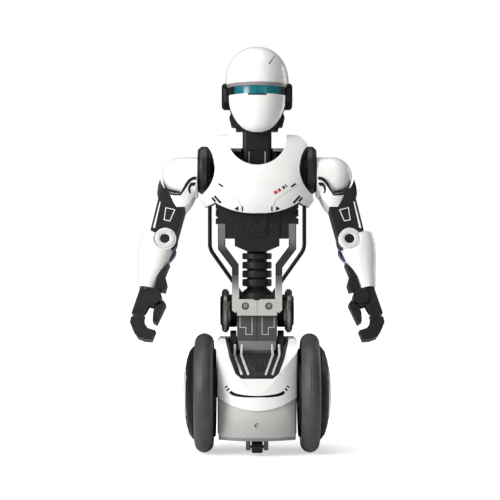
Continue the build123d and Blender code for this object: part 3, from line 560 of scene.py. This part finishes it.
def patch(name, projector, outline, finish, body, step=0.8):
    """A filled shape laid on a surface: its outline, its middle, and a skirt into the surface."""
    samples = [Vector(at) for at, _ in resample(outline, step, True)]
    count = len(samples)
    middle = sum(samples, Vector((0, 0))) / count
    rings = [[middle.lerp(at, scale) for at in samples] for scale in (1.0, 0.66, 0.33)]
    points = [raised(projector.hit(*at), -PRINT_DEPTH) for at in samples]
    points += [raised(projector.hit(*at), PRINT_LIFT) for ring in rings for at in ring]
    points += [raised(projector.hit(*middle), height) for height in (PRINT_LIFT, -PRINT_DEPTH)]
    last_ring = len(rings) * count
    top, foot = last_ring + count, last_ring + count + 1
    faces = []
    for i in range(count):
        j = (i + 1) % count
        for low in range(0, last_ring, count):
            faces.append((low + i, low + j, low + count + j, low + count + i))
        faces += [(last_ring + i, last_ring + j, top), (j, i, foot)]
    return add_piece(name, points, faces, finish, body, smooth_deg=50)


def turned(points, degrees):
    """Points turned round the origin."""
    c, s = math.cos(math.radians(degrees)), math.sin(math.radians(degrees))
    return [(c * u - s * v, s * u + c * v) for u, v in points]


def arc(radius, first_deg, last_deg, count=16):
    """Points on an arc round the origin; 0 degrees is along u and 90 along v."""
    angles = [math.radians(first_deg + (last_deg - first_deg) * i / count) for i in range(count + 1)]
    return [(radius * math.cos(a), radius * math.sin(a)) for a in angles]


# Wheels
def make_tyre(side, s):
    """Rubber tyre with ring grooves beside the crown and a serrated band near each edge."""
    low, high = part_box(f"tyre_{side}")
    middle = (low + high) / 2
    half_width = (high.x - low.x) / 2 / MM
    outer = (high.z - low.z) / 2 / MM
    bead, crown = 44.4, 9.0
    grooves, groove_depth, groove_width = (0.0, 0.26, 0.46, 0.64), 0.26, 0.24
    ribs, rib_depth, rib_middle, rib_reach = 120, 0.34, 0.86, 0.075
    across_count = 120
    start = math.asin((bead - (outer - crown)) / crown)
    profile = []
    for i in range(across_count + 1):
        a = start + (math.pi - 2 * start) * i / across_count
        profile.append((half_width * math.cos(a), outer - crown + crown * math.sin(a)))
    points, faces = [], []
    segments, count = ribs * 3, len(profile)
    for i in range(segments):
        a = 2 * math.pi * i / segments
        rib = 0.5 - 0.5 * math.cos(a * ribs)
        for x, radius in profile:
            share = abs(x) / half_width
            offsets = [(share - at) * half_width / groove_width for at in grooves]
            cut = sum(groove_depth * math.exp(-(offset**2)) for offset in offsets)
            serrated = max(0.0, 1 - ((share - rib_middle) / rib_reach) ** 2)
            r = radius - cut - rib_depth * rib * serrated
            points.append(middle + mm(s * x, r * math.cos(a), r * math.sin(a)))
        first, second = i * count, ((i + 1) % segments) * count
        for j in range(count):
            k = (j + 1) % count
            faces.append((first + j, second + j, second + k, first + k))
    name, body = f"tyre_{side}_ribbed", f"wheel_{side}"
    tyre = add_piece(name, points, faces, "tyre_rubber", body, smooth_deg=80)
    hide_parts(f"tyre_{side}")


def make_wheel_marks(side, s):
    body = f"wheel_{side}"
    rim, hub = side_view(s, f"wheel_rim_{side}"), side_view(s, f"hub_cap_{side}")
    low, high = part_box(f"hub_cap_{side}")
    centre = (low + high) / 2 / MM

    def round_axle(points, degrees):
        return [(centre.y + y, centre.z + z) for y, z in turned(points, degrees)]

    for i in range(6):
        chevron = round_axle([(33.2, -2.6), (35.6, 0), (33.2, 2.6)], 60 * i + 30)
        mark = strip(f"rim_mark_{side}_{i}", rim, chevron, 0.5, "pale_print", body)
    for i in range(3):
        bend = round_axle(arc(19, -24, 24), 120 * i + 90)
        strip(f"hub_ring_{side}_{i}", hub, bend, 0.7, "red_print", body)
        dash = round_axle([(12.2, 0), (15.8, 0)], 120 * i + 150)
        strip(f"hub_dash_{side}_{i}", hub, dash, 0.9, "black_print", body)


# Base
def make_base_details():
    column, body = front_view("hip_column"), "chassis"
    # Pale lines along the column's stepped grooves: painted highlights on the groove edges.
    steps = [(16.6, 132.6), (16.6, 122.3), (10.9, 122.3), (10.9, 115.5), (4.9, 115.5), (4.9, 132.6)]
    for side, s in SIDES.items():
        line = strip(f"column_highlight_line_{side}", column, mirrored(s, steps), 0.5, "pale_print", body)
    strip("column_seam", column, [(0, 133), (0, 100)], 0.5, "black_print", body)
    foot = [(-18.4, 100.2), (18.4, 100.2), (18.4, 109.2), (-18.4, 109.2)]
    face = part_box("hip_column")[0].y / MM
    prism("column_foot_plate", foot, face - 0.5, face + 0.3, "tray_grey", body, bevel=0.25)
    # This one is under the foot plate and runs down and back up.
    foot_seam = [(0, 109), (0, 100.4)]
    strip("column_foot_seam", column, foot_seam, 0.5, "black_print", body, closed=True)


# Head
def make_brim():
    """Slanted band under the edge of the helmet, over the visor, in a grey that is painted shade under
    the helmet's edge.
    """
    low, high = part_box("helmet")
    a, b = (high.x - low.x) / 2 / MM, (high.y - low.y) / 2 / MM
    brim, forwards = 358.0, 0.45
    section = [(0.1, 0.25), (1.7, 0.25), (2.4, -2.7), (1.6, -3.1), (0.9, -2.7)]
    points, faces = [], []
    segments, count = 72, len(section)
    for i in range(segments + 1):
        turn = math.radians(180 + 180 * i / segments)
        for inset, rise in section:
            x, y = (a - inset) * math.cos(turn), (b - inset) * math.sin(turn)
            points.append(mm(x, y - forwards, brim + rise))
    for i in range(segments):
        p, q = i * count, (i + 1) * count
        faces += [(p + j, q + j, q + (j + 1) % count, p + (j + 1) % count) for j in range(count)]
    faces += [tuple(range(count)), tuple(segments * count + j for j in reversed(range(count)))]
    piece = add_piece("brim_band", points, faces, "brim_painted_shade", "head", smooth_deg=40)


def make_head_details():
    make_brim()
    # Dark grey in the wedge notch of the helmet: painted shade in the groove.
    notch = [(17.6, 385.3), (12.3, 375.6), (11.1, 376.4)]
    patch("helmet_notch_shade", front_view("helmet"), notch, "grey_print", "head", step=1.0)
    low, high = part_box("ear_caps")
    front, left, right = low.y / MM, high.x / MM - 6.0, high.x / MM - 2.0
    panel = [(left, 354.0), (right, 354.0), (right, 341.5), (left, 341.5)]
    loop = [
        (-5.5, 355.2), (6.0, 355.2), (8.2, 352.8), (8.2, 343),
        (5.6, 338.8), (-4.0, 338.8), (-7.2, 342.2), (-7.2, 353.2),
    ]
    near, far = front - 0.35, front + 0.5
    for side, s in SIDES.items():
        outline, cap = mirrored(s, panel), side_view(s, "ear_caps")
        prism(f"ear_panel_{side}", outline, near, far, "disc_black", "head", bevel=0.2)
        strip(f"ear_line_{side}", cap, loop, 0.45, "grey_print", "head", closed=True)


# Torso
def make_chest_marks():
    chest, body = front_view("chest_shell"), "torso"
    for side, s in SIDES.items():
        dash = mirrored(s, [(32.4, 257.7), (36.9, 260.8)])
        strip(f"chest_dash_{side}", chest, dash, 1.7, "black_print", body)
        arrow = mirrored(s, [(17.9, 239.4), (17.9, 234.7), (21.9, 237.0)])
        patch(f"chest_arrow_{side}", chest, arrow, "black_print", body)
        tick = mirrored(s, [(14.0, 239.2), (14.0, 234.6)])
        strip(f"chest_tick_{side}", chest, tick, 1.4, "black_print", body)
        for i, (x, z) in enumerate(((43.3, 247.8), (40.9, 249.3))):
            slot, name = mirrored(s, [(x, z), (x - 6.2, z - 7.0)]), f"chest_slot_{side}_{i}"
            strip(name, chest, slot, 2.0, "black_print", body, lift=0.12, step=0.5)
    lean, start, tall = math.radians(32), Vector((17.0, 250.1)), 3.1
    along = Vector((math.cos(lean), math.sin(lean)))
    rise = Vector((-along.y, along.x)) * tall
    reds, blacks = ((0.0, 3.4), (4.4, 7.2)), ((9.6, 11.8), (12.8, 14.0))
    bars = [(*ends, "red_print") for ends in reds] + [(*ends, "black_print") for ends in blacks]
    for i, (first, last, finish) in enumerate(bars):
        foot = [start + along * first, start + along * last]
        patch(f"chest_bar_{i}", chest, foot + [foot[1] + rise, foot[0] + rise], finish, body)


def make_strut_edges():
    """Dark edges down the fronts of the side struts."""
    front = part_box("side_struts")[0].y / MM
    near, far = front - 0.35, front + 1.2
    outer = [(37.75, 221.5), (37.75, 198.2), (24.3, 180.3), (24.3, 174.0)]
    inner = [(30.75, 207.5), (30.75, 201.2), (17.85, 183.9), (17.85, 174.0)]
    for side, s in SIDES.items():
        for label, line, width in (("outer", outer, 0.7), ("inner", inner, -0.7)):
            # The other side of the edge, a little higher at the two bends
            other = [(x - width, z + (0.3 if i in (1, 2) else 0)) for i, (x, z) in enumerate(line)]
            outline, name = mirrored(s, line + other[::-1]), f"strut_edge_{label}_{side}"
            prism(name, outline, near, far, "black_gloss", "torso", bevel=0.12)


def make_hip_details():
    block, posts = front_view("hip_block"), front_view("hip_block", "side_struts")
    strip("hip_block_seam", block, [(0, 151), (0, 136.2)], 0.45, "grey_print", "torso")
    for side, s in SIDES.items():
        joint_line = mirrored(s, [(24.2, 173.4), (18.0, 173.4)])
        strip(f"hip_arm_line_{side}", posts, joint_line, 0.8, "black_print", "torso")
    screw_x, screw_z, beside_screw = 11.3, 143.6, 4.2
    ring = [(-0.3, 2.5), (0.3, 2.6), (0.45, 2.9), (0.4, 3.3), (-0.3, 3.45)]
    for side, s in SIDES.items():
        face, _ = block.hit(s * screw_x + beside_screw, screw_z)
        seat = mm(s * screw_x, 0, screw_z)
        seat.y = face.y
        lathe(f"hip_screw_ring_{side}", ring, seat, -BACK, "black_print", "torso", 48)


def make_neck_details():
    collar = [(15.6, 293.0), (26.4, 293.0), (26.4, 295.6), (15.6, 295.6)]
    for side, s in SIDES.items():
        outline, name = mirrored(s, collar), f"collar_bar_{side}"
        prism(name, outline, -14.5, -13.8, "tray_grey", "torso", bevel=0.2)
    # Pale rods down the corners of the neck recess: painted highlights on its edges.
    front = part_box("neck_post")[0].y / MM
    rod = [(0, 0.02), (0, 0.5), (19.2, 0.5), (19.2, 0.02)]
    for side, s in SIDES.items():
        foot = mm(s * 7.85, front + 0.75, 274)
        lathe(f"neck_highlight_rod_{side}", rod, foot, UP, "ring_grey", "torso", 24)


def make_torso_details():
    make_chest_marks()
    make_strut_edges()
    make_hip_details()
    make_neck_details()


# Arms
SHOULDER = Vector((0, 0, joints["shoulder_left_swing"]["pos_m"][2]))
ARM_DEPTH = -Vector(joints["shoulder_left_raise"]["axis"])
ARM_DOWN = ARM_DEPTH.cross(ACROSS)
ELBOW = (88.5, 72.0)


def arm_point(s, u, depth, w):
    """A point of an arm: u outwards, w down from the shoulder axis, and depth backwards."""
    return SHOULDER + ACROSS * s * u * MM + ARM_DEPTH * depth * MM + ARM_DOWN * w * MM


def arm_view(s, way, *names):
    """Drawings in (u, w), laid on an arm from its front if way is 1 and its back if it is -1."""
    return Projector(surface_of(*names), lambda u, w: arm_point(s, u, -60 * way, w), ARM_DEPTH * way)


def make_arm_details(side, s):
    arm_body, fore_body = f"arm_{side}", f"forearm_{side}"
    edge = [
        (58.5, 13.0), (62.4, 13.4), (66.1, 15.6), (69.3, 19.5),
        (71.9, 24.6), (74.3, 28.6), (80.0, 28.0), (84.9, 25.9),
    ]
    inner = [
        (58.5, 16.0), (61.6, 16.3), (64.2, 17.9), (67.1, 21.1),
        (70.1, 25.7), (73.6, 30.5), (80.4, 29.9), (85.0, 28.0),
    ]
    hook = [(57.6, 21.8), (60.6, 19.6), (63.4, 19.9), (65.2, 22.2), (65.6, 25.2), (64.4, 27.6)]
    badge = [(87.9, 41.5), (79.3, 43.7), (83.8, 54.9), (89.4, 53.6)]
    stripe = [(93.4, 35.5), (99.0, 61.8)]
    ring = [(11.5, 5.2), (11.5, 9.4), (12.05, 9.2), (12.25, 8.7), (12.25, 5.9), (12.0, 5.3)]
    elbow = arm_point(s, ELBOW[0], 0, ELBOW[1])
    for way, label in ((1, "front"), (-1, "back")):
        shell = arm_view(s, way, f"deltoid_shell_{side}", f"upper_arm_{side}")
        upper = arm_view(s, way, f"upper_arm_{side}")
        end = f"{label}_{side}"
        # Black band along the deltoid shell's top edge: painted shadow in the gap between the shoulder
        # ball and the shell.
        band(f"shoulder_gap_shadow_{end}", shell, edge, inner, "black_print", arm_body, lift=0.1)
        strip(f"shoulder_hook_{end}", shell, hook, (3.4, 1.6), "black_print", arm_body, lift=0.12)
        badge_name = f"arm_badge_{end}"
        strip(badge_name, upper, badge, 0.8, "pale_print", arm_body, closed=True, step=0.9)
        strip(f"arm_stripe_{end}", upper, stripe, (1.0, 1.9), "pale_print", arm_body)
        outwards = ARM_DEPTH * -way
        piece = lathe(f"elbow_ring_{end}", ring, elbow, outwards, "ring_grey", fore_body)
    trim = [
        (77.9, 81.5), (78.3, 85.0), (80.4, 88.8), (83.4, 92.2), (85.4, 94.2),
        (86.2, 93.6), (84.4, 90.6), (81.6, 86.6), (79.8, 82.8),
    ]

    def in_arm(u, depth, w):
        return arm_point(s, u, depth, w)

    prism(f"forearm_trim_{side}", trim, -4.5, 4.5, "blue_trim", fore_body, bevel=0.4, place=in_arm)


def make_disc_ribs(side, s):
    """Ring of fine ribs round each shoulder disc, on the side facing the chest."""
    low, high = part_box(f"shoulder_disc_{side}")
    disc = surface_of(f"shoulder_disc_{side}")
    axis = Vector((0, (low.y + high.y) / 2, (low.z + high.z) / 2))
    count, far_out = 44, 0.04
    foot, half_foot, half_top = -0.4, 0.8, 0.5
    ends = ((45.6, 1.0), (50.4, 0.15))
    points, faces = [], []
    for i in range(count):
        a = 2 * math.pi * i / count
        out = Vector((0, -math.cos(a), math.sin(a)))
        tangent = Vector((0, math.sin(a), math.cos(a)))
        start = len(points)
        for x, proud in ends:
            touch, _, _, _ = disc.ray_cast(axis + ACROSS * s * x * MM + out * far_out, -out)
            section = ((-half_foot, foot), (-half_top, proud), (half_top, proud), (half_foot, foot))
            points += [touch + tangent * across * MM + out * up * MM for across, up in section]
        sides = [(j, j + 1, j + 5, j + 4) for j in range(3)]
        for face in sides + [(0, 4, 7, 3), (0, 1, 2, 3), (7, 6, 5, 4)]:
            faces.append(tuple(start + j for j in face))
    name, body = f"shoulder_ribs_{side}", f"shoulder_{side}"
    add_piece(name, points, faces, "bracket_grey", body, smooth_deg=25)


make_base_details()
make_head_details()
make_torso_details()
for side_name, sign in SIDES.items():
    make_tyre(side_name, sign)
    make_wheel_marks(side_name, sign)
    make_arm_details(side_name, sign)
    make_disc_ribs(side_name, sign)


# Floor, light and camera
def make_stage():
    """Pale paper floor, brighter to the eye further off, to meet the backdrop without a line."""
    half = 6.0
    corners = [(-half, -half, 0), (half, -half, 0), (half, half, 0), (-half, half, 0)]
    mesh = bpy.data.meshes.new("studio_floor")
    mesh.from_pydata(corners, [], [(0, 1, 2, 3)])
    floor = bpy.data.objects.new("studio_floor", mesh)
    bpy.context.scene.collection.objects.link(floor)
    g = Graph("floor_paper")
    g.put(g.shader, "Base Color", g.mix(g.spread(g.noise(60, 3)), grey(0.88), grey(0.9)))
    g.put(g.shader, "Roughness", 0.9)
    reach = g.add("ShaderNodeVectorMath", {"Vector": g.place}, operation="LENGTH").outputs["Value"]
    near, far = 0.05, 0.24
    glow = g.ramp(reach, near, far, 0.55, 1.0)
    seen = g.add("ShaderNodeLightPath").outputs["Is Camera Ray"]
    g.put(g.shader, "Emission Color", grey(1))
    g.put(g.shader, "Emission Strength", g.maths("MULTIPLY", seen, glow))
    mesh.materials.append(g.material)


def add_light(name, place, aim, size, power, colour=(1, 1, 1)):
    light = bpy.data.lights.new(name, "AREA")
    light.shape = "RECTANGLE"
    light.size, light.size_y = size
    light.energy = power
    light.color = colour
    lamp = bpy.data.objects.new(name, light)
    lamp.location = place
    lamp.rotation_euler = (Vector(aim) - Vector(place)).to_track_quat("-Z", "Y").to_euler()
    bpy.context.scene.collection.objects.link(lamp)


def make_lights():
    """A key light from the left of the picture, three weaker ones, and a white backdrop."""
    middle = (0, 0, 0.22)
    add_light("key", (-1.25, -1.15, 0.85), middle, (0.7, 0.9), 32)
    add_light("top", (-0.25, -0.1, 1.6), (0, 0, 0), (1.2, 1.2), 13)
    add_light("fill", (0.9, -1.4, 0.5), middle, (0.6, 0.9), 2.0, (1.0, 0.97, 0.93))
    add_light("rim_right", (1.1, 0.9, 0.5), middle, (0.5, 0.9), 3)
    world = bpy.data.worlds.new("studio")
    bpy.context.scene.world = world
    world.use_nodes = True
    tree = world.node_tree
    sky = tree.nodes["Background"]
    seen = tree.nodes.new("ShaderNodeLightPath")
    strength = tree.nodes.new("ShaderNodeMapRange")
    lighting, backdrop = 0.13, 1.0
    strength.inputs["To Min"].default_value = lighting
    strength.inputs["To Max"].default_value = backdrop
    tree.links.new(seen.outputs["Is Camera Ray"], strength.inputs["Value"])
    tree.links.new(strength.outputs["Result"], sky.inputs["Strength"])
    sky.inputs["Color"].default_value = grey(1)


def make_camera():
    """Level camera in front of the robot."""
    distance, half_width_at_object = 1.4, 0.2447
    aim_x, aim_z = -0.00685, 0.1975
    lens = bpy.data.cameras.new("camera")
    lens.sensor_width = 36
    lens.lens = lens.sensor_width / 2 * distance / half_width_at_object
    lens.clip_start, lens.clip_end = 0.05, 50
    camera = bpy.data.objects.new("camera", lens)
    camera.location = (aim_x, -distance, aim_z)
    camera.rotation_euler = (math.radians(90), 0, 0)
    bpy.context.scene.collection.objects.link(camera)
    bpy.context.scene.camera = camera


make_stage()
make_lights()
make_camera()
bpy.context.scene.view_settings.view_transform = "Standard"
